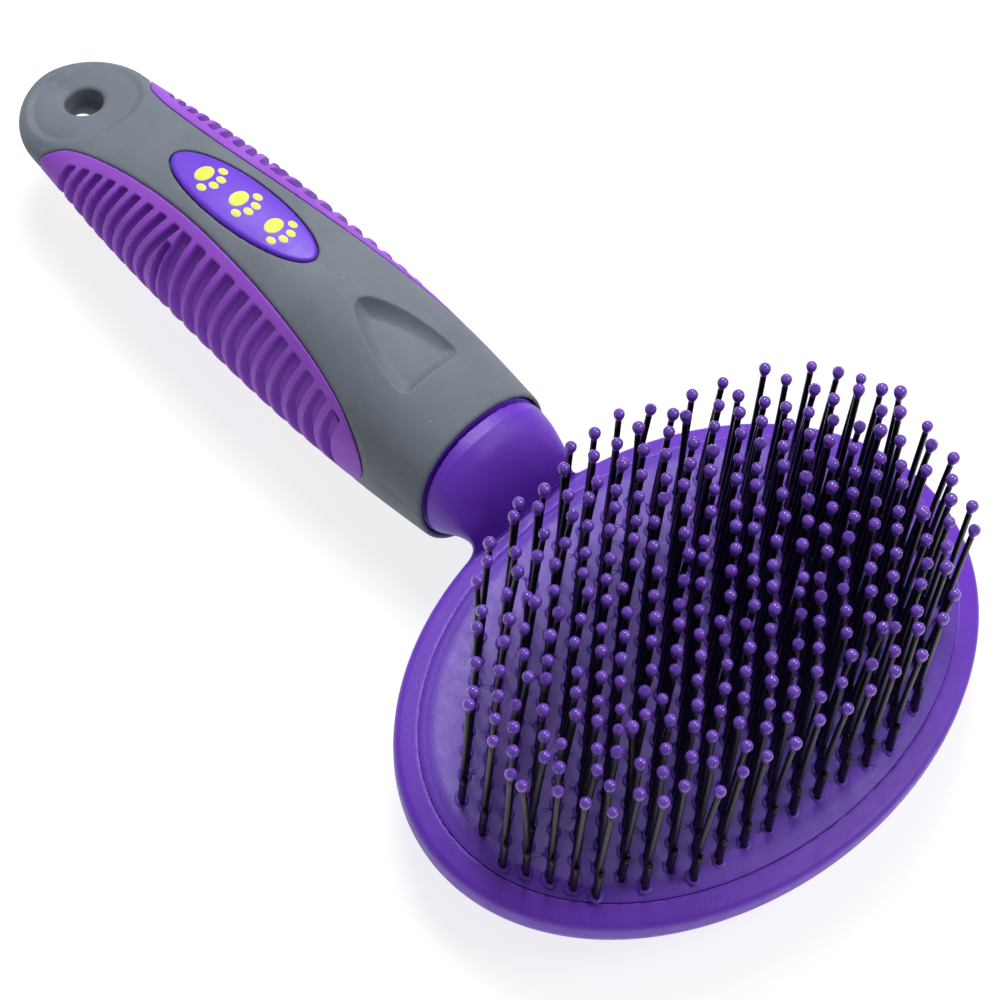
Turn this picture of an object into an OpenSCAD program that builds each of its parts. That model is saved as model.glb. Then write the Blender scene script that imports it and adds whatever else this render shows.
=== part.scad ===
// Pet grooming pin brush with an oval head, laid on its back with its pins up.
// +X runs along the handle towards the head, +Z points where the pins point, and the origin
// is at the middle of the footprint, on the surface that the brush lies on.

/* [Head] */
// Width of the head across the handle
head_width = 105; // [85:1:125]
// Length of the head along the handle
head_length = 76; // [62:1:92]
// Height of the bristle pad's face above the surface that the brush lies on
face_height = 15; // [13:0.5:20]
// Fall of the rim from the pad's face to the outer edge
rim_fall = 2.1; // [1:0.1:3]
// Height of the head's outer wall
rim_wall = 2.3; // [1:0.1:4]
// Width of the rim around the pad
rim_width = 4; // [3:0.1:6]

/* [Bristle pad] */
// Thickness of the pad
pad_thickness = 4.4; // [3.8:0.1:6]
// Gap around the pad in its recess
pad_gap = 0.15; // [0.1:0.05:0.3]
// Distance from the pad's bevel to the outermost pins
field_margin = 0.5; // [0.2:0.1:4]
// Extra bare strip of the pad on the handle's side of the pins
bare_back = 4.4; // [0:0.2:8]
// Extra bare strip of the pad on the left of the pins
bare_left = 3; // [0:0.2:8]

/* [Pins] */
// Diameter of the nylon filament
filament_d = 0.83; // [0.6:0.01:1]
// Height of the pins above the pad, to the top of the tips
pin_height = 28; // [18:0.5:34]
// Height of the cut end of each filament above the pad
stub_height = 7; // [3:0.5:10]
// Gap between the two legs of a folded filament
leg_gap = 0.2; // [0.16:0.01:0.3]
// Depth of the pin holes
hole_depth = 3.2; // [2.5:0.1:3.4]
// Diameter of a moulded tip
tip_d = 1.9; // [1.4:0.05:2.4]
// Distance between pins in a row
pin_pitch = 4.8; // [4:0.05:7]
// Number of rows
rows = 20; // [14:2:20]
// Direction of the rows, measured from the handle's axis
row_angle = 82.3; // [70:0.1:110]
// Sideways step of each row from the one behind it
row_step = 2.06; // [1.5:0.01:2.6]

/* [Handle] */
// Distance from the middle of the head to the end of the handle
reach = 151.5; // [125:0.5:180]
// Distance from the middle of the head to the soft grip
neck_reach = 46.4; // [44:0.2:54]
// Lean of the grip's end at the neck, back from the head
end_lean = 0.22; // [0:0.02:0.3]
// Greatest width of the grip
grip_width = 30.4; // [27:0.2:37]
// Radius of the grip's end, seen from above
end_radius = 11; // [9:0.5:13]
// Depth of the soft grip under its surface
grip_skin = 3; // [2.2:0.1:4]
// Width of the neck where it meets the head
neck_width = 25; // [20:0.5:28]
// Height of the neck's underside above the surface that the brush lies on
neck_foot = 10; // [7:0.5:10.5]
// Step from the grip down to the neck
neck_step = 0.9; // [0.5:0.1:1.5]

/* [Hang hole] */
// Diameter of the hang hole
hang_d = 6.4; // [5:0.1:8]
// Distance from the end of the handle to the hang hole
hang_inset = 10.2; // [9:0.1:13]

/* [Grip details] */
// Depth of the soft side inserts
insert_depth = 2; // [1.5:0.1:2.4]
// Length of the badge
badge_length = 33; // [24:0.5:38]
// Width of the badge
badge_width = 10; // [7:0.5:12]
// Thickness of the badge
badge_depth = 1.2; // [0.8:0.1:1.6]
// Length of the thumb rest
thumb_length = 16; // [12:0.5:20]
// Width of the thumb rest
thumb_width = 11.6; // [9:0.5:14]
// Depth of the thumb rest
thumb_depth = 1; // [0.5:0.1:1.6]

/* [Hidden] */
fine = 0.1;             // clearance between moulded pieces that are bonded or pressed together
row_names = [for (i = [1:rows]) str(i < 10 ? "0" : "", i)];

grip_colour = [0.42, 0.45, 0.49];
frame_colour = [0.45, 0.28, 0.78];
insert_colour = [0.60, 0.38, 0.79];
pin_colour = [0.07, 0.07, 0.09];
tip_colour = [0.48, 0.32, 0.74];
steel_colour = [0.75, 0.75, 0.73];

head_x = (reach - head_length / 2) / 2;    // middle of the head
butt_x = head_x - reach;                   // end of the handle
grip_x = head_x - neck_reach;              // end of the grip at the neck
grip_length = grip_x - butt_x;
hang_x = butt_x + hang_inset;
pad_inset = rim_width + pad_gap;
pad_rise = 0.9;                            // height of the pad's bevel above the rim's inner edge
pad_bevel = 0.8;                           // width of the pad's bevel
oval_sides = 72;
section_sides = 36;

// ---- shared shapes ----------------------------------------------------------------------

// A closed solid through a list of rings that all have the same number of points
module skin(rings) {
    n = len(rings[0]);
    last = len(rings) - 1;
    polyhedron(
        points = [for (r = rings) each r],
        faces = concat(
            [[for (i = [0:n - 1]) i]],
            [for (k = [0:last - 1]) for (i = [0:n - 1]) each
                [[k * n + i, (k + 1) * n + i, k * n + (i + 1) % n],
                 [k * n + (i + 1) % n, (k + 1) * n + i, (k + 1) * n + (i + 1) % n]]],
            [[for (i = [n - 1:-1:0]) last * n + i]]
        )
    );
}

// A smooth curve through points [position, value], read at s
function slope(p, k) =
    let (a = max(k - 1, 0), b = min(k + 1, len(p) - 1)) (p[b][1] - p[a][1]) / (p[b][0] - p[a][0]);
function span(p, s, k = 0) = k >= len(p) - 2 || s < p[k + 1][0] ? k : span(p, s, k + 1);
function curve(p, s) =
    let (k = span(p, s), h = p[k + 1][0] - p[k][0], u = (s - p[k][0]) / h)
    (2 * pow(u, 3) - 3 * pow(u, 2) + 1) * p[k][1] + (pow(u, 3) - 2 * pow(u, 2) + u) * h * slope(p, k)
    + (3 * pow(u, 2) - 2 * pow(u, 3)) * p[k + 1][1] + (pow(u, 3) - pow(u, 2)) * h * slope(p, k + 1);

// An oval ring of the head, this far inside its outline, at height z
function oval(inset, z) = [for (i = [0:oval_sides - 1]) let (a = i * 360 / oval_sides)
    [head_x + (head_length / 2 - inset) * cos(a), (head_width / 2 - inset) * sin(a), z]];

// A rounded cross-section of the handle at x, from z = low to z = high and widest at z = middle,
// tilted backwards by lean
grip_square = 2.2;                         // 2 is an ellipse, and more is squarer
function power(v, n) = sign(v) * pow(abs(v), n);
function section(x, half, low, middle, high, lean = 0) =
    [for (i = [0:section_sides - 1])
        let (a = i * 360 / section_sides,
             rise = (a > 180 ? middle - low : high - middle) * power(sin(a), 2 / grip_square))
        [x - lean * rise, half * power(cos(a), 2 / grip_square), middle + rise]];

// ---- handle ------------------------------------------------------------------------------

// Each list runs along the grip, from 0 at its end to 1 at the neck
plan_curve = [[0, 0.74], [0.12, 0.82], [0.3, 0.94], [0.6, 1], [0.85, 0.97], [1, 0.91]];
crown_curve = [[0, 3], [0.1, 5.2], [0.3, 11.2], [0.47, 14.65], [0.7, 16.4], [0.88, 15], [1, 12.5]];
belly_curve = [[0, -1.6], [0.1, -3.8], [0.3, -9.8], [0.47, -13], [0.7, -14.9], [0.88, -13.3], [1, -11]];

function along(x) = (x - butt_x) / grip_length;
function end_share(x, grow) =
    let (d = min(1, (x - butt_x + grow) / end_radius)) sqrt(max(0, 1 - pow(1 - d, 2)));
function half_at(x) = grip_width / 2 * curve(plan_curve, along(x));
function crown_at(x) = face_height + curve(crown_curve, along(x));
function belly_at(x) = face_height + curve(belly_curve, along(x));

// The grip's outer form, grown by this much all round
module grip_form(grow) {
    steps = 24;
    first = 0.25;
    stations = [for (i = [0:steps]) let (t = i / steps)
        butt_x - grow + first + (grip_length - first + grow + (grow > 0 ? 1 : 0)) * pow(t, 1.5)];
    skin([for (x = stations)
        let (e = end_share(x, grow), xx = max(x, butt_x), thin = pow(e, 0.5),
             mid = (crown_at(xx) + belly_at(xx)) / 2, tall = (crown_at(xx) - belly_at(xx)) / 2 + grow)
        section(x, max(0.4, (half_at(xx) + grow) * e), mid - tall * thin, mid, mid + tall * thin,
            end_lean * pow(max(0, along(x)), 4))]);
}

// The frame's core under the grip and its neck outside it, grown by this much all round
core_start = hang_x + hang_d / 2 + 5;
neck_end = head_x - head_length / 2 + rim_width / 2;
module core_form(grow) {
    inner = grip_skin + fine;
    ring = [half_at(grip_x) - neck_step, belly_at(grip_x) + neck_step, crown_at(grip_x) - neck_step];
    tang = [for (i = [0:10]) let (x = core_start - grow + i / 10 * (grip_x - 8 - core_start))
        [x, half_at(x) - inner, belly_at(x) + inner, (belly_at(x) + crown_at(x)) / 2,
         crown_at(x) - inner]];
    start = grip_x + 0.5;
    collar = [for (x = [grip_x - 5, start])
        [x, ring[0], ring[1], (ring[1] + ring[2]) / 2, ring[2]]];
    rim_top = face_height - rim_fall;
    mid_ring = (ring[1] + ring[2]) / 2;
    narrow = neck_width / 2;
    widths = [[0, ring[0]], [0.22, narrow + 0.2], [0.42, narrow - 0.3], [0.62, narrow - 0.9],
              [0.8, narrow - 1.5], [1, narrow - 2]];
    bottoms = [[0, ring[1]], [0.22, neck_foot - 3], [0.42, neck_foot - 1], [0.62, neck_foot],
               [1, neck_foot + 0.3]];
    mids = [[0, mid_ring], [0.22, rim_top + 3.3], [0.42, rim_top + 3.7], [0.62, rim_top + 3.9],
            [0.8, rim_top + 3.4], [0.92, rim_top + 1.4], [1, rim_top - 0.5]];
    tops = [[0, ring[2]], [0.22, rim_top + 12.3], [0.42, rim_top + 10.3], [0.62, rim_top + 7.7],
            [0.8, rim_top + 4.7], [0.92, rim_top + 1.9], [1, rim_top]];
    neck = [for (i = [1:12]) let (t = i / 12)
        [start + (neck_end - start) * t, curve(widths, t), curve(bottoms, t), curve(mids, t),
         curve(tops, t)]];
    skin([for (s = concat(tang, collar, neck))
        section(s[0], s[1] + grow, s[2] - grow, s[3], s[4] + grow)]);
}

// Outline of a side insert seen from above, on the side of negative y
insert_curve = [[0.12, 0.82], [0.16, 0.61], [0.25, 0.5], [0.38, 0.476], [0.52, 0.54], [0.66, 0.648],
                [0.8, 0.8], [0.9, 0.98]];
module insert_outline(grow) {
    steps = 24;
    first = insert_curve[0][0];
    last = insert_curve[len(insert_curve) - 1][0];
    edge = [for (i = [0:steps]) let (s = first + (last - first) * i / steps)
        [butt_x + s * grip_length, -grip_width / 2 * curve(insert_curve, s) + grow]];
    polygon(concat(edge, [[edge[steps][0] + grow, edge[steps][1]], [edge[steps][0] + grow, -grip_width],
        [edge[0][0] - grow, -grip_width], [edge[0][0] - grow, edge[0][1]]]));
}

// The space of a side insert, from its inner face out past the grip's surface
module insert_space(grow) {
    difference() {
        translate([0, 0, -face_height])
            linear_extrude(height = 4 * face_height) insert_outline(grow);
        grip_form(-insert_depth - grow);
    }
}

badge_x = butt_x + 0.466 * grip_length;
module badge_outline(grow) {
    translate([badge_x, 0])
        polygon([for (i = [0:47]) let (a = i * 7.5)
            [(badge_length / 2 + grow) * cos(a), (badge_width / 2 + grow) * sin(a)]]);
}

module badge_space(grow) {
    difference() {
        translate([0, 0, face_height])
            linear_extrude(height = 3 * face_height) badge_outline(grow);
        grip_form(-badge_depth - grow);
    }
}

// The thumb rest has a straight edge towards the head and a rounded point behind it
thumb_x = butt_x + 0.891 * grip_length;
module thumb_space() {
    half = thumb_width / 2;
    side = [for (i = [0:14]) let (t = i / 14) [-thumb_length * sin(90 * t), half * pow(cos(90 * t), 0.9)]];
    difference() {
        translate([thumb_x, 0, face_height])
            linear_extrude(height = 3 * face_height)
                polygon(concat(side, [for (i = [13:-1:0]) [side[i][0], -side[i][1]]]));
        grip_form(-thumb_depth);
    }
}

module side_insert() {
    color(insert_colour)
        intersection() {
            grip_form(0);
            insert_space(0);
        }
}

module side_insert_right() {
    side_insert();
}

module side_insert_left() {
    mirror([0, 1, 0]) side_insert();
}

module badge_plate() {
    color(frame_colour)
        intersection() {
            grip_form(0);
            badge_space(0);
        }
}

module grip() {
    color(grip_colour)
        difference() {
            grip_form(0);
            core_form(fine);
            insert_space(fine);
            mirror([0, 1, 0]) insert_space(fine);
            badge_space(fine);
            thumb_space();
            translate([hang_x, 0, 0]) cylinder(d = hang_d, h = 3 * face_height, $fn = 48);
        }
}

// ---- head ----------------------------------------------------------------------------------

// The frame: one hard moulding of head, neck and core
module frame() {
    edge = face_height - rim_fall;
    wall_foot = edge - rim_wall;
    flat_share = 0.45;
    inner_edge = face_height - pad_rise;
    back = [for (i = [0:7]) let (a = i * 90 / 7)
        oval((1 - flat_share) * head_length / 2 * (1 - sin(a)), wall_foot * (1 - cos(a)))];
    color(frame_colour)
        union() {
            skin(concat(back, [
                oval(0.3, edge - 0.3),
                oval(0.7, edge),
                oval(rim_width, inner_edge),
                oval(rim_width, face_height - pad_thickness - fine)]));
            core_form(0);
        }
}

// ---- bristles --------------------------------------------------------------------------------

leg_step = filament_d + leg_gap;                   // between the two legs of a filament
hole_d = leg_step + filament_d + 2 * fine;
row_along = [cos(row_angle), sin(row_angle)];
row_across = [sin(row_angle), -cos(row_angle)];
field_edge = pad_inset + pad_bevel + field_margin;
field_a = (head_length - bare_back) / 2 - field_edge;
field_b = (head_width - bare_left) / 2 - field_edge;
field_middle = [bare_back / 2, -bare_left / 2];    // from the middle of the head
rows_middle = field_middle + [-1.4, 1.5];
row_ends = 4.2;                                    // what the rows leave free of the field's length
row_pitch = (2 * field_a - row_ends) / (rows - 1) / sin(row_angle);
stub_side = [cos(-35), sin(-35)];                  // where the cut leg stands beside the long one
function in_field(p) =
    pow((p[0] - field_middle[0]) / field_a, 2) + pow((p[1] - field_middle[1]) / field_b, 2) <= 1;
function pin_place(r, k) =
    let (i = r - (rows + 1) / 2, shift = i * row_step)
    rows_middle + row_across * i * row_pitch
    + row_along * (shift + (k - round(shift / pin_pitch)) * pin_pitch);
most_in_row = ceil(head_width / pin_pitch);
function row_places(r) = [for (k = [-most_in_row:most_in_row])
    let (p = pin_place(r, k)) if (in_field(p)) [head_x + p[0], p[1]]];

module bristle_pad() {
    top = face_height;
    color(frame_colour)
        difference() {
            skin([
                oval(pad_inset, top - pad_thickness),
                oval(pad_inset, top - pad_rise),
                oval(pad_inset + pad_bevel, top)]);
            for (r = [1:rows])
                for (p = row_places(r))
                    translate([p[0], p[1], top - hole_depth])
                        cylinder(d = hole_d, h = hole_depth + 1, $fn = 24);
        }
}

// One filament, folded at its middle: a long leg under the tip and a short cut leg beside it
module filament() {
    r = filament_d / 2;
    fold = leg_step / 2 + r + fine - hole_depth;   // height of the fold's centre over the pad's face
    tip_seat = pin_height - tip_d;
    rotate([0, 0, atan2(stub_side[1], stub_side[0])])
        union() {
            translate([-leg_step / 2, 0, fold]) cylinder(r = r, h = tip_seat - fold, $fn = 24);
            translate([leg_step / 2, 0, fold]) cylinder(r = r, h = stub_height - fold, $fn = 24);
            translate([0, 0, fold]) rotate([-90, 0, 0])
                rotate_extrude(angle = 180, $fn = 24) translate([leg_step / 2, 0]) circle(r = r, $fn = 16);
        }
}

// A tip is a bead with a short cone under it
module tip() {
    r = tip_d / 2;
    shift = -leg_step / 2;
    translate([shift * stub_side[0], shift * stub_side[1], pin_height - tip_d])
        rotate_extrude($fn = 32)
            polygon(concat(
                [[0, 0], [filament_d / 2, 0]],
                [for (a = [-50:14:90]) [r * cos(a), r + r * sin(a)]],
                [[0, tip_d]]));
}

module bristle_row(r) {
    color(pin_colour)
        for (p = row_places(r)) translate([p[0], p[1], face_height]) filament();
}

module tip_row(r) {
    color(tip_colour)
        for (p = row_places(r)) translate([p[0], p[1], face_height]) tip();
}

// Flat wire pieces that hold each fold at the bottom of its hole
module pin_anchors() {
    anchor = [leg_gap - 0.06, hole_d - 2 * fine, 1.2];
    color(steel_colour)
        for (r = [1:rows])
            for (p = row_places(r))
                translate([p[0], p[1], face_height - hole_depth + filament_d + 2 * fine])
                    rotate([0, 0, atan2(stub_side[1], stub_side[0])])
                        translate([-anchor[0] / 2, -anchor[1] / 2, 0]) cube(anchor);
}

frame();
bristle_pad();
grip();
side_insert_left();
side_insert_right();
badge_plate();
pin_anchors();
for (r = [1:rows]) {
    bristle_row(r);
    tip_row(r);
}
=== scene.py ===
"""Pin brush: an oval head with bead-tipped pins on a soft two-colour grip."""
import math
import random

import bpy
import numpy as np
from mathutils import Matrix, Vector


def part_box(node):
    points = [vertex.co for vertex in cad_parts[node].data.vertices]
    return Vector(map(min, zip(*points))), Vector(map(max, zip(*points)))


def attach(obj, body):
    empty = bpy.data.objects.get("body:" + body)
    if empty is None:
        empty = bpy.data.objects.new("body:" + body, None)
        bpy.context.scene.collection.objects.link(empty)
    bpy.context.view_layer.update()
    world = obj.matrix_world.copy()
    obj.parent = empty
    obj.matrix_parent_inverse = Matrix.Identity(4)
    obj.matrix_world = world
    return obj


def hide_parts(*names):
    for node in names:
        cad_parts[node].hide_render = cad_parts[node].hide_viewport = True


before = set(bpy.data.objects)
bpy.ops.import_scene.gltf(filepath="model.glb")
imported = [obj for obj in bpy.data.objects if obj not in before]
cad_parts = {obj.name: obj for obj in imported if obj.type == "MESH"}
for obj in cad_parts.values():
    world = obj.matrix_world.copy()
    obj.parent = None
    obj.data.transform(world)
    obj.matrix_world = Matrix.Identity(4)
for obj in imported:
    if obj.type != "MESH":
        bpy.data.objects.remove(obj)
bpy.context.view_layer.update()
random.seed(7)

MM = 0.001

# ---- sizes, in millimetres -------------------------------------------------------------------

# The head: an oval across the handle, with its width and place from the frame
frame_low, frame_high = (Vector(corner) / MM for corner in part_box("frame"))
HEAD_WIDTH = frame_high.y - frame_low.y
HEAD_LENGTH = 76.0
HEAD_X = frame_high.x - HEAD_LENGTH / 2

# Heights of the pad's face, the rim's outer and inner edge, the head's widest level and the
# recess's floor, and the rim's width
FACE = 15.0
RIM_TOP = FACE - 2.1
RIM_INNER = FACE - 0.9
WALL_FOOT = RIM_TOP - 2.3
RECESS_FLOOR = FACE - 4.5
RIM_WIDTH = 4.0

# The grip, from its butt end to where it meets the neck
REACH = 151.5
BUTT_X = HEAD_X - REACH
GRIP_X = HEAD_X - 46.4
GRIP_LENGTH = GRIP_X - BUTT_X
GRIP_HALF = 15.2
END_RADIUS = 11.0
END_LEAN = 0.22
SQUARE = 2.2

# The soft skin, the least wall it keeps, and where the hard core under it steps up to the neck
SKIN = 3.1
THIN_WALL = 0.7
TANG_END = GRIP_X - 5

# The neck: its step down from the grip, half width, lowest level and the groove where they meet
NECK_STEP = 0.9
NECK_HALF = 12.5
NECK_FOOT = 10.0
CREVICE = 2.2

# The hang hole, how much it narrows in its lower half, and the wall between it and the core
HANG_X = BUTT_X + 10.2
HANG_R = 3.2
HANG_STEP = 0.8
HANG_WALL = 5.0

# Along the grip, from 0 at its butt end to 1 at the neck: half width as a share of GRIP_HALF, and
# crown and belly as heights from FACE
PLAN = [(0, 0.74), (0.12, 0.82), (0.3, 0.94), (0.6, 1), (0.85, 0.97), (1, 0.91)]
CROWN = [(0, 3), (0.1, 5.2), (0.3, 11.2), (0.47, 14.65), (0.7, 16.4), (0.88, 15), (1, 12.5)]
BELLY = [(0, -1.6), (0.1, -3.8), (0.3, -9.8), (0.47, -13), (0.7, -14.9), (0.88, -13.3), (1, -11)]

# The side inserts' upper edge, as a share of GRIP_HALF from the middle plane
INSERT = [(0.12, 0.82), (0.16, 0.61), (0.25, 0.5), (0.38, 0.476), (0.52, 0.54), (0.66, 0.648),
          (0.8, 0.8), (0.9, 0.98)]


# ---- fields: negative inside a shape, positive outside it, in millimetres ------------------------

def curve(points, s):
    """A smooth curve through points (position, value), read at s."""
    at = np.array([p[0] for p in points], float)
    value = np.array([p[1] for p in points], float)
    last = len(at) - 1
    after = np.minimum(np.arange(last + 1) + 1, last)
    before = np.maximum(np.arange(last + 1) - 1, 0)
    slope = (value[after] - value[before]) / (at[after] - at[before])
    s = np.clip(s, at[0], at[-1])
    k = np.clip(np.searchsorted(at, s, side="right") - 1, 0, last - 1)
    h = at[k + 1] - at[k]
    u = (s - at[k]) / h
    return ((2 * u**3 - 3 * u**2 + 1) * value[k] + (u**3 - 2 * u**2 + u) * h * slope[k]
            + (3 * u**2 - 2 * u**3) * value[k + 1] + (u**3 - u**2) * h * slope[k + 1])


def both(a, b, round_over=0.0):
    """Inside both shapes, with a rounded edge."""
    if not round_over:
        return np.maximum(a, b)
    near = np.maximum(round_over - np.abs(a - b), 0) / round_over
    return np.maximum(a, b) + near * near * round_over / 4


def either(a, b, fillet=0.0):
    """Inside either shape, with a fillet where they meet."""
    return -both(-a, -b, fillet)


def ramp(low, high, value):
    """0 below low, 1 above high, smooth between."""
    t = np.clip((value - low) / (high - low), 0, 1)
    return t * t * (3 - 2 * t)


def bump(at, width, value):
    """A smooth hump of height 1 and this half width."""
    t = np.clip(np.abs(value - at) / width, 0, 1)
    return (1 - t * t) ** 2


def round_section(y, z, half, middle, up, down, square_up, square_down):
    """Distance outside a rounded cross-section, measured towards its middle."""
    dz = z - middle
    above = dz > 0
    power = np.where(above, square_up, square_down)
    tall = np.where(above, up, down)
    share = (np.abs(y / half) ** power + np.abs(dz / tall) ** power) ** (1 / power)
    reach = np.sqrt(y * y + dz * dz)
    return np.where(share > 1e-4, reach * (1 - 1 / np.maximum(share, 1e-4)), -np.minimum(half, tall))


def surface(name, axes, field):
    """The mesh of a field's zero level, sampled where three sets of planes cross."""
    inside = field < 0
    cells = np.array(field.shape) - 1
    rings, points, flips = [], [], []
    for axis in range(3):
        step = np.zeros(3, int)
        step[axis] = 1
        ahead = np.roll(inside, -1, axis)
        crossing = inside != ahead
        crossing[tuple(slice(-1, None) if d == axis else slice(None) for d in range(3))] = False
        i = np.argwhere(crossing)
        j = i + step
        start, end = field[tuple(i.T)], field[tuple(j.T)]
        t = start / (start - end)
        point = np.stack([axes[d][i[:, d]] for d in range(3)], 1).astype(float)
        point[:, axis] += t * (axes[axis][j[:, axis]] - axes[axis][i[:, axis]])
        u, v = (axis + 1) % 3, (axis + 2) % 3
        ring = []
        for du, dv in ((0, 0), (-1, 0), (-1, -1), (0, -1)):
            cell = i.copy()
            cell[:, u] += du
            cell[:, v] += dv
            ring.append((cell[:, 0] * cells[1] + cell[:, 1]) * cells[2] + cell[:, 2])
        rings.append(np.stack(ring, 1))
        points.append(point)
        flips.append(~inside[tuple(i.T)])
    rings, points, flips = np.concatenate(rings), np.concatenate(points), np.concatenate(flips)
    used, index = np.unique(rings.ravel(), return_inverse=True)
    index = index.reshape(rings.shape)
    count = np.bincount(index.ravel(), minlength=len(used))
    corner = np.stack([np.bincount(index.ravel(), np.repeat(points[:, d], 4), len(used)) / count
                       for d in range(3)], 1)
    index[flips] = index[flips][:, ::-1]
    return mesh_object(name, corner * MM, index)


def mesh_object(name, points, faces):
    """A smooth-shaded object from points in metres and faces of equal length."""
    faces = np.asarray(faces)
    mesh = bpy.data.meshes.new(name)
    mesh.vertices.add(len(points))
    mesh.vertices.foreach_set("co", np.asarray(points, np.float32).ravel())
    mesh.loops.add(faces.size)
    mesh.loops.foreach_set("vertex_index", faces.astype(np.int32).ravel())
    mesh.polygons.add(len(faces))
    mesh.polygons.foreach_set("loop_start", np.arange(0, faces.size, faces.shape[1], dtype=np.int32))
    mesh.polygons.foreach_set("use_smooth", np.ones(len(faces), bool))
    mesh.update(calc_edges=True)
    made = bpy.data.objects.new(name, mesh)
    bpy.context.scene.collection.objects.link(made)
    return made


def grid(low, high, step):
    """Planes from low to high, and their shapes for sums over all three axes."""
    axes = [np.arange(a, b + s, s) for a, b, s in zip(low, high, step)]
    return axes, np.ix_(*axes)


# ---- the grip's outer form ----------------------------------------------------------------------

def grip_shape(x, y, z):
    """Distance outside the grip's outer form, with its share along, height of middle and size."""
    rough = np.clip((x - BUTT_X) / GRIP_LENGTH, 0, 1)
    middle = FACE + (curve(CROWN, rough) + curve(BELLY, rough)) / 2
    along = (x + END_LEAN * (z - middle) * rough**4 - BUTT_X) / GRIP_LENGTH
    s = np.clip(along, 0, 1)
    end = np.clip((x - BUTT_X) / END_RADIUS, 1e-4, 1)
    end = np.sqrt(1 - (1 - end) ** 2)
    crown, belly = curve(CROWN, s), curve(BELLY, s)
    half = GRIP_HALF * curve(PLAN, s) * end
    tall = (crown - belly) / 2 * np.sqrt(end)
    middle = FACE + (crown + belly) / 2
    outside = round_section(y, z, half, middle, tall, tall, SQUARE, SQUARE)
    return outside, along, middle, half, tall


def insert_edge(along):
    """How far from the middle plane the side inserts' upper edge runs."""
    return GRIP_HALF * curve(INSERT, along)


def insert_region(along, y):
    """Distance outside the side inserts' outline, seen from above."""
    span = np.maximum(INSERT[0][0] - along, along - INSERT[-1][0]) * GRIP_LENGTH
    return both(insert_edge(along) - np.abs(y), span, 1.0)


def core(x, y, z, grow=0.0):
    """Distance outside the hard core under the grip."""
    s = np.clip((x - BUTT_X) / GRIP_LENGTH, 0, 1)
    crown, belly = curve(CROWN, s), curve(BELLY, s)
    skin = SKIN - (SKIN - NECK_STEP) * ramp(TANG_END - 3, TANG_END, x)
    half = GRIP_HALF * curve(PLAN, s) - skin + grow
    tall = (crown - belly) / 2 - skin + grow
    outside = round_section(y, z, half, FACE + (crown + belly) / 2, tall, tall, SQUARE, SQUARE)
    return both(outside, HANG_X + HANG_R + HANG_WALL - grow - x, 1.0)


INSERT_DEPTH = 2.65
BADGE_X = BUTT_X + 0.466 * GRIP_LENGTH
BADGE_HALF = (16.5, 5.0)
BADGE_DEPTH = 1.2
BADGE_PROUD = 0.12


def badge_region(x, y):
    """Distance outside the badge's oval."""
    a, b = BADGE_HALF
    share = np.sqrt(((x - BADGE_X) / a) ** 2 + (y / b) ** 2)
    slope = np.sqrt(((x - BADGE_X) / a**2) ** 2 + (y / b**2) ** 2)
    return (share - 1) * share / np.maximum(slope, 1e-3)


THUMB_X = HEAD_X - 58.5
THUMB_LENGTH = 17.6
THUMB_HALF = 6.2
THUMB_WALL = 2.0
THUMB_DEPTH = 1.7
THUMB_SLOPE = 0.75


def thumb_outline(x, y):
    """Distance outside the thumb rest: a straight edge near the head, narrowing to a round point."""
    t = np.clip((THUMB_X - x) / THUMB_LENGTH, 0, 1)
    half = THUMB_HALF * np.cos(t * math.pi / 2) ** 0.6
    side = (np.abs(y + 0.2) - half) * (1 - 0.4 * t)
    return both(both(side, x - THUMB_X, 1.5), THUMB_X - THUMB_LENGTH - x, 1.5)


def thumb_depth(x, y):
    """Depth of the thumb rest: sloped walls, deepest towards its point."""
    wall = np.clip(-thumb_outline(x, y) / THUMB_WALL, 0, 1)
    deep = THUMB_DEPTH + THUMB_SLOPE * ramp(THUMB_X, THUMB_X - THUMB_LENGTH, x)
    return deep * wall * (1.6 - 0.6 * wall)


DISH_X = HANG_X + 0.4
DISH_HALF = (8.6, 9.4)


def dish_depth(x, y):
    """Depth of the shallow dish round the hang hole, with a clear lip on the side of the head."""
    a, b = DISH_HALF
    out = (np.sqrt(((x - DISH_X) / a) ** 2 + (y / b) ** 2) - 1) * a
    lip = ramp(0.9, -0.6, out)
    return lip * (1.0 + 0.2 * ramp(4, -5, x - DISH_X)) * ramp(-2.0, 4.0, x - BUTT_X)


def make_grip():
    """The soft skin: hollow for the core, with pockets, thumb rest, dish and hang hole."""
    low = (BUTT_X - 0.6, -GRIP_HALF - 0.5, 0)
    high = (GRIP_X + 2.8, GRIP_HALF + 0.5, 32.5)
    axes, (x, y, z) = grid(low, high, (0.25, 0.25, 0.25))
    outside, along, middle, _, _ = grip_shape(x, y, z)
    outside = both(outside, BUTT_X + 0.02 - x)
    top = z > middle
    # the mould's parting line, near the neck only
    seam = bump(middle - 0.4, 0.45, z) * ramp(0.9, 0.92, along) * (np.abs(y) > 5)
    outside = outside - 0.12 * seam
    body = both(outside, (along - 1) * GRIP_LENGTH, 0.7)
    body = both(body, -both(core(x, y, z, 0.1), outside + THIN_WALL), 0.3)
    body = both(body, -both(insert_region(along, y), -outside - INSERT_DEPTH - 0.1), 0.5)
    pocket = both(badge_region(x, y) - 0.2, np.where(top, -outside - BADGE_DEPTH - 0.1, 5.0))
    body = both(body, -pocket, 0.4)
    body = np.maximum(body, np.where(top, outside + thumb_depth(x, y) + dish_depth(x, y), body))
    reach = np.sqrt((x - HANG_X) ** 2 + y * y)
    narrow = HANG_STEP * ramp(middle + 0.5, middle - 1.5, z)
    body = both(body, HANG_R - narrow - reach, 1.4)
    return surface("soft_grip", axes, body)


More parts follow.
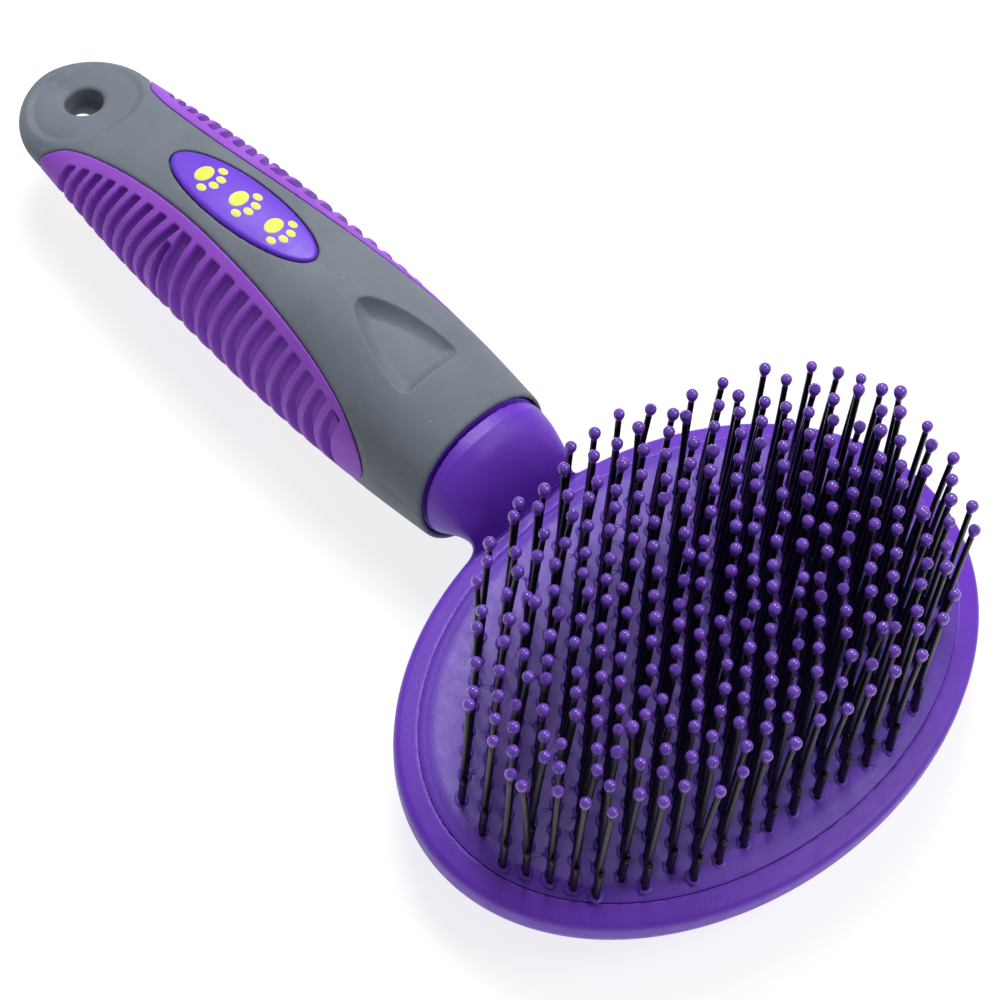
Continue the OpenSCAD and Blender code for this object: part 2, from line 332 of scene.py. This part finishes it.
# Grooves before and after the short one that forks, with its place and sweep
EARLY_GROOVES = 9
FORK = (43.6, 1.4)
LATE_GROOVES = 12
GROOVE_DEPTH = 1.8


def groove_lines():
    """Each groove's place from the butt at the widest level, sweep, half width and last turn."""
    lines = []
    for k in range(EARLY_GROOVES):
        sweep = 2.3 + 0.23 * max(0, k - 3) ** 1.6
        lines.append((19.2 + 2.65 * k, sweep, 0.8, 9.0))
    lines.append((*FORK, 0.72, 0.65))
    for j in range(LATE_GROOVES):
        lines.append((46.2 + 3.15 * j + 0.03 * j * j, min(3.4, 0.8 * j), 1.2, 9.0))
    return lines


def grooves(x, drop, turn):
    """Depth of the side inserts' grooves; drop is the way down from the insert's upper edge."""
    depth = np.zeros(np.broadcast(x, drop).shape)
    for at, sweep, width, last in groove_lines():
        line = BUTT_X + at + sweep * turn * turn / (0.35 + turn)
        across = np.abs(x - line) / width
        wall = np.clip((1 - across) / 0.35, 0, 1) * ramp(last, last - 0.08, turn)
        depth = np.maximum(depth, wall * (1.5 - 0.5 * wall))
    return GROOVE_DEPTH * depth * ramp(2.1, 2.75, drop)


def make_insert(side):
    """A ribbed side insert; both are made as the left one, and the right one is mirrored."""
    low = (BUTT_X + 0.11 * GRIP_LENGTH, 5.5, 0.5)
    high = (GRIP_X - 8.5, GRIP_HALF + 0.4, 31.5)
    axes, (x, y, z) = grid(low, high, (0.2, 0.2, 0.2))
    outside, along, middle, half, tall = grip_shape(x, y, z)
    turn = np.arctan2(np.abs(z - middle), y)
    s = np.clip(along, INSERT[0][0], INSERT[-1][0])
    level = np.clip(insert_edge(s) / half, 0, 1) ** SQUARE
    edge_turn = np.arctan2(tall * (1 - level) ** (1 / SQUARE), insert_edge(s))
    drop = (edge_turn - turn) * (half + tall) / 2
    drop = np.minimum(drop, (INSERT[-1][0] - 0.012 - along) * GRIP_LENGTH)
    ribbed = outside + grooves(x, drop, turn)
    shell = both(ribbed, -outside - INSERT_DEPTH)
    shell = both(shell, insert_region(along, y) + 0.08, 0.4)
    made = surface("side_insert_" + side, axes, shell)
    if side == "right":
        flip(made)
    return made


def flip(made):
    """Turn a piece into its mirror image across the middle plane."""
    made.data.transform(Matrix.Scale(-1, 4, (0, 1, 0)))
    made.data.flip_normals()


def make_badge():
    """The oval plate, a little proud of the grip's surface."""
    axes, (x, y, z) = grid((BADGE_X - 17.5, -5.8, 24), (BADGE_X + 17.5, 5.8, 32), (0.2, 0.2, 0.15))
    outside = grip_shape(x, y, z)[0]
    plate = both(outside - BADGE_PROUD, -outside - BADGE_DEPTH)
    return surface("badge", axes, both(plate, badge_region(x, y), 0.7))


# ---- the frame: head, neck and core -------------------------------------------------------------

def oval_inset(x, y):
    """How far inside the head's outline a place is, level with ovals that shrink evenly."""
    low = np.full(np.broadcast(x, y).shape, -12.0)
    high = np.full_like(low, HEAD_LENGTH / 2 - 0.5)
    for _ in range(26):
        inset = (low + high) / 2
        inside = (((x - HEAD_X) / (HEAD_LENGTH / 2 - inset)) ** 2
                  + (y / (HEAD_WIDTH / 2 - inset)) ** 2) < 1
        low = np.where(inside, inset, low)
        high = np.where(inside, high, inset)
    return inset


def neck(x, y, z):
    """Distance outside the neck between grip and head."""
    start, end = GRIP_X + 0.5, HEAD_X - HEAD_LENGTH / 2 + RIM_WIDTH / 2
    t = np.clip((x - start) / (end - start), 0, 1)
    half0 = GRIP_HALF * PLAN[-1][1] - NECK_STEP
    low0, high0 = FACE + BELLY[-1][1] + NECK_STEP, FACE + CROWN[-1][1] - NECK_STEP
    half = NECK_HALF + curve([(0, half0 - NECK_HALF), (0.22, 0.2), (0.42, -0.3), (0.62, -0.9),
                              (0.8, -1.5), (1, -2)], t)
    low = NECK_FOOT + curve([(0, low0 - NECK_FOOT), (0.22, -3), (0.42, -1), (0.62, 0), (1, 0.3)], t)
    middle = RIM_TOP + curve([(0, (low0 + high0) / 2 - RIM_TOP), (0.22, 3.3), (0.42, 3.7),
                              (0.62, 3.9), (0.8, 3.4), (0.92, 1.4), (1, -0.5)], t)
    high = RIM_TOP + curve([(0, high0 - RIM_TOP), (0.22, 12.3), (0.42, 10.3), (0.62, 7.7),
                            (0.8, 4.7), (0.92, 1.9), (1, 0)], t)
    outside = round_section(y, z, half, middle, high - middle, middle - low, SQUARE, SQUARE)
    crown = (z - middle) / (high - middle)
    end_x = GRIP_X - END_LEAN * (high0 - low0) / 2 * np.clip(crown, -1, 1)
    crevice = bump(end_x + 0.1, 0.5, x) * CREVICE
    return both(outside + crevice, np.maximum(TANG_END - 0.5 - x, x - end))


def make_frame():
    """Head, neck and core in one piece; the planes lie closest where the neck leaves the grip."""
    xs = np.concatenate([np.arange(HANG_X + 7, GRIP_X - 6, 0.9),
                         np.arange(GRIP_X - 6, GRIP_X + 5, 0.18),
                         np.arange(GRIP_X + 5, frame_high.x + 1, 0.36)])
    ys = np.arange(-HEAD_WIDTH / 2 - 0.8, HEAD_WIDTH / 2 + 0.9, 0.36)
    zs = np.concatenate([np.arange(-0.6, 8, 0.4), np.arange(8, 16, 0.2), np.arange(16, 31, 0.4)])
    x, y, z = np.ix_(xs, ys, zs)
    inset = oval_inset(x, y)
    dome = 0.55 * HEAD_LENGTH / 2
    under = np.sqrt((np.maximum(dome - inset, 0) / dome) ** 2
                    + (np.maximum(WALL_FOOT - z, 0) / WALL_FOOT) ** 2) - 1
    under = np.where(z < WALL_FOOT, under * WALL_FOOT, -inset)
    slope = (RIM_INNER - RIM_TOP) / RIM_WIDTH
    top = z - RIM_TOP - slope * inset
    shell = both(both(under, -inset), top, 1.1)
    recess = both(RIM_WIDTH - inset, RECESS_FLOOR - z)
    shell = both(shell, -recess, 0.3)
    solid = either(shell, neck(x, y, z), 2.6)
    solid = both(solid, -recess, 0.4)
    tang = both(core(x, y, z), x - TANG_END)
    solid = either(solid, tang)
    return surface("hard_frame", [xs, ys, zs], solid)


# ---- rings of points, for the pins, the pad and the print -----------------------------------------

def band_faces(rings, sides):
    """Faces between rings of points that follow one another."""
    faces = []
    for i in range(rings - 1):
        for k in range(sides):
            a, b = i * sides + k, i * sides + (k + 1) % sides
            faces.append((a, b, b + sides, a + sides))
    return faces


def cap_faces(base, sides, centre, order=1):
    """Faces that close the ring starting at base with a point in its middle."""
    return [(base + k, base + k + 1, base + (k + 2) % sides, centre)[::order]
            for k in range(0, sides, 2)]


# ---- pins ----------------------------------------------------------------------------------------

# The rows, the pins in a row and the strips left bare behind and on the left, as in the solids
ROWS = 20
PIN_PITCH = 4.8
BARE_BACK = 4.4
BARE_LEFT = 3.0
ROW_ENDS = 4.2
ROW_STEP = 2.06
ROW_ANGLE = math.radians(82.3)
ROWS_SHIFT = (-1.4, 1.5)
PAD_INSET = RIM_WIDTH + 0.15
PAD_BEVEL = 0.8
FIELD_MARGIN = 0.5
FIELD_EDGE = PAD_INSET + PAD_BEVEL + FIELD_MARGIN
FIELD_HALF = ((HEAD_LENGTH - BARE_BACK) / 2 - FIELD_EDGE,
              (HEAD_WIDTH - BARE_LEFT) / 2 - FIELD_EDGE)
FIELD_MIDDLE = (BARE_BACK / 2, -BARE_LEFT / 2)
ROW_PITCH = (2 * FIELD_HALF[0] - ROW_ENDS) / (ROWS - 1) / math.sin(ROW_ANGLE)

# One pin: a long leg, a fold ROOT under the pad's face, a short cut leg and a dipped tip
FILAMENT_R = 0.49
PIN_HEIGHT = 28.0
STUB_HEIGHT = 7.0
TIP_R = 0.95
ROOT = 1.4
LEG_STEP = 1.03
STUB_SIDE = Vector((math.cos(math.radians(-35)), math.sin(math.radians(-35)), 0))


def field_share(x, y):
    """A place in the pin field, as shares of the field's half length and half width."""
    return Vector(((x - FIELD_MIDDLE[0]) / FIELD_HALF[0], (y - FIELD_MIDDLE[1]) / FIELD_HALF[1], 0))


def row_places(row):
    """The places of a row's pins from the head's middle."""
    step = row - (ROWS + 1) / 2
    shift = step * ROW_STEP
    way = (math.cos(ROW_ANGLE), math.sin(ROW_ANGLE))
    most = math.ceil(HEAD_WIDTH / PIN_PITCH)
    places = []
    for k in range(-most, most + 1):
        run = shift + (k - round(shift / PIN_PITCH)) * PIN_PITCH
        x = FIELD_MIDDLE[0] + ROWS_SHIFT[0] + way[1] * step * ROW_PITCH + way[0] * run
        y = FIELD_MIDDLE[1] + ROWS_SHIFT[1] - way[0] * step * ROW_PITCH + way[1] * run
        if field_share(x, y).length <= 1:
            places.append((x, y))
    return places


class Pin:
    """One pin's place, lean and small faults."""

    def __init__(self, x, y):
        self.foot = Vector((HEAD_X + x, y, FACE))
        out = field_share(x, y)
        edge = max(0.0, out.length - 0.7) / 0.3
        lean = out.normalized() * 0.5 * edge
        lean += Vector((random.gauss(0, 0.42), random.gauss(0, 0.42), 0))
        if edge > 0 and random.random() < 0.12:
            lean += Vector((random.gauss(0, 1.2), random.gauss(0, 1.2), 0))
        self.lean = lean
        self.rise = PIN_HEIGHT - TIP_R - random.uniform(0, 0.5)
        self.tip_size = random.gauss(1, 0.045)
        self.spin = random.uniform(0, 2 * math.pi)

    def line(self, t):
        """The long leg's middle line, from 0 at the pad to 1 at the tip's middle."""
        rise = self.rise - self.lean.length_squared / (2 * self.rise)
        start = self.foot - STUB_SIDE * LEG_STEP / 2
        return start + self.lean * t**1.6 + Vector((0, 0, rise * t))

    def end_way(self):
        """The way that the long leg points where its tip sits."""
        return (self.line(1) - self.line(0.9)).normalized()


def tube(points, radii, sides):
    """Points and faces of a round tube through points, capped at both ends."""
    corners = []
    for i, (point, radius) in enumerate(zip(points, radii)):
        way = (points[min(i + 1, len(points) - 1)] - points[max(i - 1, 0)]).normalized()
        turn = Vector((0, 0, 1)).rotation_difference(way)
        for k in range(sides):
            a = 2 * math.pi * k / sides
            corners.append(point + turn @ Vector((radius * math.cos(a), radius * math.sin(a), 0)))
    faces = band_faces(len(points), sides)
    for base, order in ((0, -1), ((len(points) - 1) * sides, 1)):
        corners.append(sum((corners[base + k] for k in range(sides)), Vector()) / sides)
        faces += cap_faces(base, sides, len(corners) - 1, order)
    return corners, faces


def joined(name, parts):
    """One object from many lists of points and faces, given in millimetres."""
    points, faces = [], []
    for part_points, part_faces in parts:
        shift = len(points)
        points += [p * MM for p in part_points]
        faces += [[i + shift for i in face] for face in part_faces]
    return mesh_object(name, points, faces)


def pin_legs(pin):
    """The long leg, the fold under the pad's face and the short cut leg of a pin."""
    sides = 12
    steps = 9
    points = [pin.line(0) - Vector((0, 0, ROOT))]
    points += [pin.line(i / steps) for i in range(steps + 1)]
    long_leg = tube(points, [FILAMENT_R] * len(points), sides)
    foot = pin.foot + STUB_SIDE * LEG_STEP / 2
    height = STUB_HEIGHT + pin.lean.x * 0.3
    lean = pin.lean * 0.12
    stub = [foot + lean * t + Vector((0, 0, -ROOT + (height + ROOT) * t))
            for t in (0, 0.3, 0.6, 0.9, 1)]
    points, faces = tube(stub, [FILAMENT_R] * 4 + [FILAMENT_R * 0.96], sides)
    for i in range(sides):
        a = 2 * math.pi * i / sides
        points[4 * sides + i] += Vector((0, 0, 0.35 * math.cos(a - pin.spin)))
    return [long_leg, (points, faces)]


# The tip's outline from its neck to its top: place along the filament, and radius
TIP_PROFILE = [(-1.75, 0.5), (-1.35, 0.56), (-1.0, 0.71), (-0.62, 0.86), (-0.2, 0.95), (0.2, 0.94),
               (0.5, 0.8), (0.74, 0.56), (0.88, 0.28), (0.93, 0.06)]


def pin_tip(pin):
    """A dipped bead: a drop with a short neck down the filament."""
    way = pin.end_way()
    centre = pin.line(1)
    side = way.orthogonal().normalized()
    size = pin.tip_size
    pull = random.random()
    points = [centre + way * h * size for h, _ in TIP_PROFILE]
    if pull < 0.1:
        points[-1] += way * 0.35 + side * 0.15
        points[-2] += way * 0.18
    drift = side * random.gauss(0, 0.05)
    points = [p + drift * max(0.0, i - 2) / 4 for i, p in enumerate(points)]
    return tube(points, [r * size for _, r in TIP_PROFILE], 16)


def make_pins():
    """Each row's legs and tips as two pieces, with the pins they came from."""
    made = []
    for row in range(1, ROWS + 1):
        pins = [Pin(x, y) for x, y in row_places(row)]
        legs = joined("pins_%02d" % row, [part for pin in pins for part in pin_legs(pin)])
        tips = joined("tips_%02d" % row, [pin_tip(pin) for pin in pins])
        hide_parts("bristle_row_%02d" % row)
        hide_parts("tip_row_%02d" % row)
        made.append((legs, tips, pins))
    return made


def collar(pin):
    """The pad's small raised lip round a pin's foot."""
    rings = [(1.35, -0.05), (1.12, 0.05), (0.98, 0.2), (0.84, 0.22), (0.78, -0.1)]
    sides = 14
    points = []
    across = Vector((-STUB_SIDE.y, STUB_SIDE.x, 0))
    for radius, height in rings:
        for k in range(sides):
            a = 2 * math.pi * k / sides
            rough = 1 + 0.07 * math.sin(3 * a + pin.spin)
            spot = STUB_SIDE * (radius + 0.25) * math.cos(a) * rough
            spot += across * (radius - 0.12) * math.sin(a) * rough
            rise = height * (1 + 0.5 * math.sin(2 * a + pin.spin))
            points.append(pin.foot + spot + Vector((0, 0, rise)))
    return points, band_faces(len(rings), sides)


def burr(pin):
    """A fine curl of plastic that the drill left at a pin's foot."""
    a = random.uniform(0, 2 * math.pi)
    way = Vector((math.cos(a), math.sin(a), 0))
    turn = Vector((-way.y, way.x, 0)) * random.uniform(-0.5, 0.5)
    length = random.uniform(0.8, 1.9)
    points = []
    for i in range(5):
        t = i / 4
        points.append(pin.foot + way * (1.1 + length * t) + turn * t * t
                      + Vector((0, 0, 0.15 + 0.7 * length * t * (1 - 0.55 * t))))
    return tube(points, [0.09, 0.08, 0.06, 0.045, 0.02], 6)


def make_pad(pins):
    """The pad pressed into the head, with the lips and burrs round its pins."""
    sides = 240
    edge = RIM_WIDTH + 0.05
    lip = RIM_WIDTH - 0.25
    # how far in from the head's outline, and height
    rings = [(edge, RECESS_FLOOR + 0.1), (edge, RIM_INNER + 0.03), (lip, RIM_INNER + 0.03),
             (lip + 0.06, RIM_INNER + 0.1), (edge + 0.5, RIM_INNER + 0.26),
             (edge + 1.1, RIM_INNER + 0.5), (edge + 1.8, FACE - 0.14), (edge + 2.6, FACE - 0.02)]
    rings += [(edge + 3.2 + i * 1.6, FACE) for i in range(18)]
    points = []
    for inset, height in rings:
        for k in range(sides):
            a = 2 * math.pi * k / sides
            points.append(Vector((HEAD_X + (HEAD_LENGTH / 2 - inset) * math.cos(a),
                                  (HEAD_WIDTH / 2 - inset) * math.sin(a), height)))
    faces = band_faces(len(rings), sides)
    for base, height, order in ((0, rings[0][1], -1), ((len(rings) - 1) * sides, FACE, 1)):
        points.append(Vector((HEAD_X, 0, height)))
        faces += cap_faces(base, sides, len(points) - 1, order)
    parts = [(points, faces)] + [collar(pin) for pin in pins]
    parts += [burr(pin) for pin in pins if random.random() < 0.55]
    return joined("pin_pad", parts)


# ---- the badge's print ---------------------------------------------------------------------------

def paw(centre, size, grow):
    """Ovals of a plain paw print: one large pad and four toes."""
    shapes = [((-0.35, 0), (0.46, 0.56))]
    shapes += [((0.3 if abs(y) > 0.5 else 0.72, y), (0.28, 0.18)) for y in (-0.82, -0.28, 0.28, 0.82)]
    found = []
    for (cx, cy), (rx, ry) in shapes:
        found.append((centre + Vector((cx * size, cy * size, 0)), rx * size + grow, ry * size + grow))
    return found


def badge_height(x, y):
    """Height of the badge's face at a place."""
    s = (x - BUTT_X) / GRIP_LENGTH
    half = GRIP_HALF * float(curve(PLAN, s))
    crown, belly = float(curve(CROWN, s)), float(curve(BELLY, s))
    rise = (1 - abs(y / half) ** SQUARE) ** (1 / SQUARE)
    return FACE + (crown + belly) / 2 + (crown - belly) / 2 * rise + BADGE_PROUD


PAW_PITCH = 8.2
PAW_SIZE = 2.9


def make_print(name, grow, lift):
    """Three paw prints of thin ovals that follow the badge's face."""
    sides = 40
    rings = ((1.0, -0.05), (1.0, lift * 0.7), (0.93, lift), (0.5, lift))
    parts = []
    for i in (-1, 0, 1):
        for centre, rx, ry in paw(Vector((BADGE_X + i * PAW_PITCH, 0, 0)), PAW_SIZE, grow):
            points = []
            for share, rise in rings:
                for k in range(sides):
                    a = 2 * math.pi * k / sides
                    x = centre.x + rx * share * math.cos(a)
                    y = centre.y + ry * share * math.sin(a)
                    points.append(Vector((x, y, badge_height(x, y) + rise)))
            top = badge_height(centre.x, centre.y) + lift
            points.append(Vector((centre.x, centre.y, top)))
            faces = band_faces(len(rings), sides)
            faces += cap_faces((len(rings) - 1) * sides, sides, len(points) - 1)
            parts.append((points, faces))
    return joined(name, parts)


# ---- materials -----------------------------------------------------------------------------------

def material(name, colour, second, roughness, grain, fleck=0.0, grain_scale=2600, **sockets):
    """Moulded plastic, rubber or steel: two close colours in clouds, uneven gloss and a fine grain."""
    made = bpy.data.materials.new(name)
    made.use_nodes = True
    nodes, links = made.node_tree.nodes, made.node_tree.links
    shader = nodes["Principled BSDF"]
    for socket, value in sockets.items():
        shader.inputs[socket.replace("_", " ")].default_value = value
    place = nodes.new("ShaderNodeTexCoord")

    def texture(scale, detail, rough=0.55):
        """Noise in the piece's own space."""
        found = nodes.new("ShaderNodeTexNoise")
        found.inputs["Scale"].default_value = scale
        found.inputs["Detail"].default_value = detail
        found.inputs["Roughness"].default_value = rough
        links.new(place.outputs["Object"], found.inputs["Vector"])
        return found.outputs["Fac"]

    def mapped(value, low, high, to_low, to_high):
        """A value moved from one range to another."""
        found = nodes.new("ShaderNodeMapRange")
        found.inputs["From Min"].default_value = low
        found.inputs["From Max"].default_value = high
        found.inputs["To Min"].default_value = to_low
        found.inputs["To Max"].default_value = to_high
        links.new(value, found.inputs["Value"])
        return found.outputs["Result"]

    def mixed(share, a, b):
        """A colour between two, each of them a colour or a node's output."""
        found = nodes.new("ShaderNodeMix")
        found.data_type = "RGBA"
        links.new(share, found.inputs["Factor"])
        for socket, value in ((found.inputs["A"], a), (found.inputs["B"], b)):
            if hasattr(value, "links"):
                links.new(value, socket)
            else:
                socket.default_value = (*value, 1)
        return found.outputs["Result"]

    cloud = mapped(texture(90, 3), 0.35, 0.65, 0, 1)
    base = mixed(cloud, colour, second)
    mottle = mapped(texture(900, 4), 0.3, 0.7, 0, 0.35)
    base = mixed(mottle, base, tuple(0.86 * c for c in colour))
    if fleck:
        dust = mapped(texture(1900, 1), 0.77, 0.79, 0, fleck)
        base = mixed(dust, base, tuple(min(1, 0.25 + c * 1.6) for c in colour))
    links.new(base, shader.inputs["Base Color"])
    gloss = mapped(texture(420, 4), 0.3, 0.7, roughness - 0.06, roughness + 0.07)
    links.new(gloss, shader.inputs["Roughness"])
    surface_bump = nodes.new("ShaderNodeBump")
    surface_bump.inputs["Strength"].default_value = grain
    surface_bump.inputs["Distance"].default_value = 0.0002
    links.new(texture(grain_scale, 6, 0.65), surface_bump.inputs["Height"])
    links.new(surface_bump.outputs["Normal"], shader.inputs["Normal"])
    return made


def linear(red, green, blue):
    """An 8-bit screen colour as the shader's linear one."""
    shares = (c / 255 for c in (red, green, blue))
    return tuple(c / 12.92 if c < 0.04045 else ((c + 0.055) / 1.055) ** 2.4 for c in shares)


def make_materials():
    """Every finish by name."""
    return {
        "soft_grip": material("soft_grip", linear(108, 115, 126), linear(99, 106, 116), 0.62, 0.25,
                              0.35, Specular_IOR_Level=0.3),
        "insert": material("insert", linear(146, 80, 198), linear(136, 72, 188), 0.55, 0.18, 0.1,
                           Specular_IOR_Level=0.2),
        "hard_plastic": material("hard_plastic", linear(106, 50, 190), linear(96, 42, 178), 0.4, 0.3,
                                 Specular_IOR_Level=0.35),
        "pad_plastic": material("pad_plastic", linear(98, 52, 182), linear(86, 44, 168), 0.4, 0.35,
                                Specular_IOR_Level=0.4),
        "badge": material("badge", linear(102, 44, 205), linear(96, 40, 198), 0.45, 0.12),
        "filament": material("filament", linear(15, 18, 24), linear(10, 12, 16), 0.3, 0.1,
                             grain_scale=5000, Specular_IOR_Level=0.3),
        "tip_coat": material("tip_coat", linear(112, 68, 180), linear(96, 56, 164), 0.12, 0.03,
                             Specular_IOR_Level=0.5, Coat_Weight=0.35),
        "print_edge": material("print_edge", linear(236, 238, 170), linear(228, 232, 150), 0.5, 0.1),
        "print_fill": material("print_fill", linear(220, 230, 80), linear(208, 220, 66), 0.5, 0.1),
        "anchor_steel": material("anchor_steel", linear(190, 190, 186), linear(170, 170, 166), 0.35, 0.2,
                                 Metallic=1.0),
    }


def dress(piece, finish, slot=None):
    """Give a piece its finish; when a slot is passed, the piece also rides on the brush's one body."""
    piece.data.materials.clear()
    piece.data.materials.append(finishes[finish])
    if slot:
        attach(piece, "root")


# ---- the brush -----------------------------------------------------------------------------------

finishes = make_materials()

hard_frame = make_frame()
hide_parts("frame")
dress(hard_frame, "hard_plastic", "hard_plastic")

soft_grip = make_grip()
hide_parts("grip")
dress(soft_grip, "soft_grip", "soft_grip")

for side in ("left", "right"):
    insert = make_insert(side)
    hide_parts("side_insert_" + side)
    dress(insert, "insert", "insert")

badge = make_badge()
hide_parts("badge_plate")
dress(badge, "badge", "hard_plastic")
dress(make_print("badge_print_edge", 0.14, 0.03), "print_edge", "hard_plastic")
dress(make_print("badge_print_fill", 0, 0.07), "print_fill", "hard_plastic")

all_pins = []
for legs, tips, pins in make_pins():
    dress(legs, "filament", "filament")
    dress(tips, "tip_coat", "tip_coat")
    all_pins += pins

pad = make_pad(all_pins)
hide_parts("bristle_pad")
dress(pad, "pad_plastic", "hard_plastic")
dress(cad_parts["pin_anchors"], "anchor_steel")


# ---- floor, light and camera ---------------------------------------------------------------------

def floor():
    """A plain pale floor that lights itself a little, as a white studio sweep does."""
    half = 3.0
    corners = [Vector((x * half, y * half, 0)) for x, y in ((-1, -1), (1, -1), (1, 1), (-1, 1))]
    made = mesh_object("floor", corners, [(0, 1, 2, 3)])
    finish = bpy.data.materials.new("floor")
    finish.use_nodes = True
    shader = finish.node_tree.nodes["Principled BSDF"]
    shader.inputs["Base Color"].default_value = (0.25, 0.25, 0.25, 1)
    shader.inputs["Roughness"].default_value = 0.9
    shader.inputs["Emission Color"].default_value = (1, 1, 1, 1)
    shader.inputs["Emission Strength"].default_value = 0.8
    made.data.materials.append(finish)


def soft_box(name, place, aim, size, power):
    """A square of light at a place, turned towards aim."""
    light = bpy.data.lights.new(name, "AREA")
    light.shape = "SQUARE"
    light.size = size
    light.energy = power
    made = bpy.data.objects.new(name, light)
    made.location = place
    made.rotation_euler = (Vector(aim) - Vector(place)).to_track_quat("-Z", "Y").to_euler()
    bpy.context.scene.collection.objects.link(made)


def studio():
    """White all round, a key light over the grip's left and a weaker one beyond the head."""
    scene = bpy.context.scene
    scene.view_settings.view_transform = "Standard"
    world = bpy.data.worlds.new("studio")
    scene.world = world
    world.use_nodes = True
    world.node_tree.nodes["Background"].inputs["Color"].default_value = (1, 1, 1, 1)
    world.node_tree.nodes["Background"].inputs["Strength"].default_value = 0.3
    middle = (0.0, 0.0, 0.02)
    soft_box("key", (-0.36, 0.28, 0.78), middle, 0.35, 7.2)
    soft_box("side", (0.42, 0.35, 0.55), middle, 0.35, 2.2)


def camera():
    """A long lens, looking down the brush from the head's end and the near side."""
    lens = bpy.data.cameras.new("camera")
    lens.sensor_width = 36.0
    lens.lens = 133.75
    made = bpy.data.objects.new("camera", lens)
    made.location = (0.21581, -0.24840, 0.50707)
    made.rotation_euler = [math.radians(a) for a in (32.581, -4.027, 45.269)]
    bpy.context.scene.collection.objects.link(made)
    bpy.context.scene.camera = made


floor()
studio()
camera()
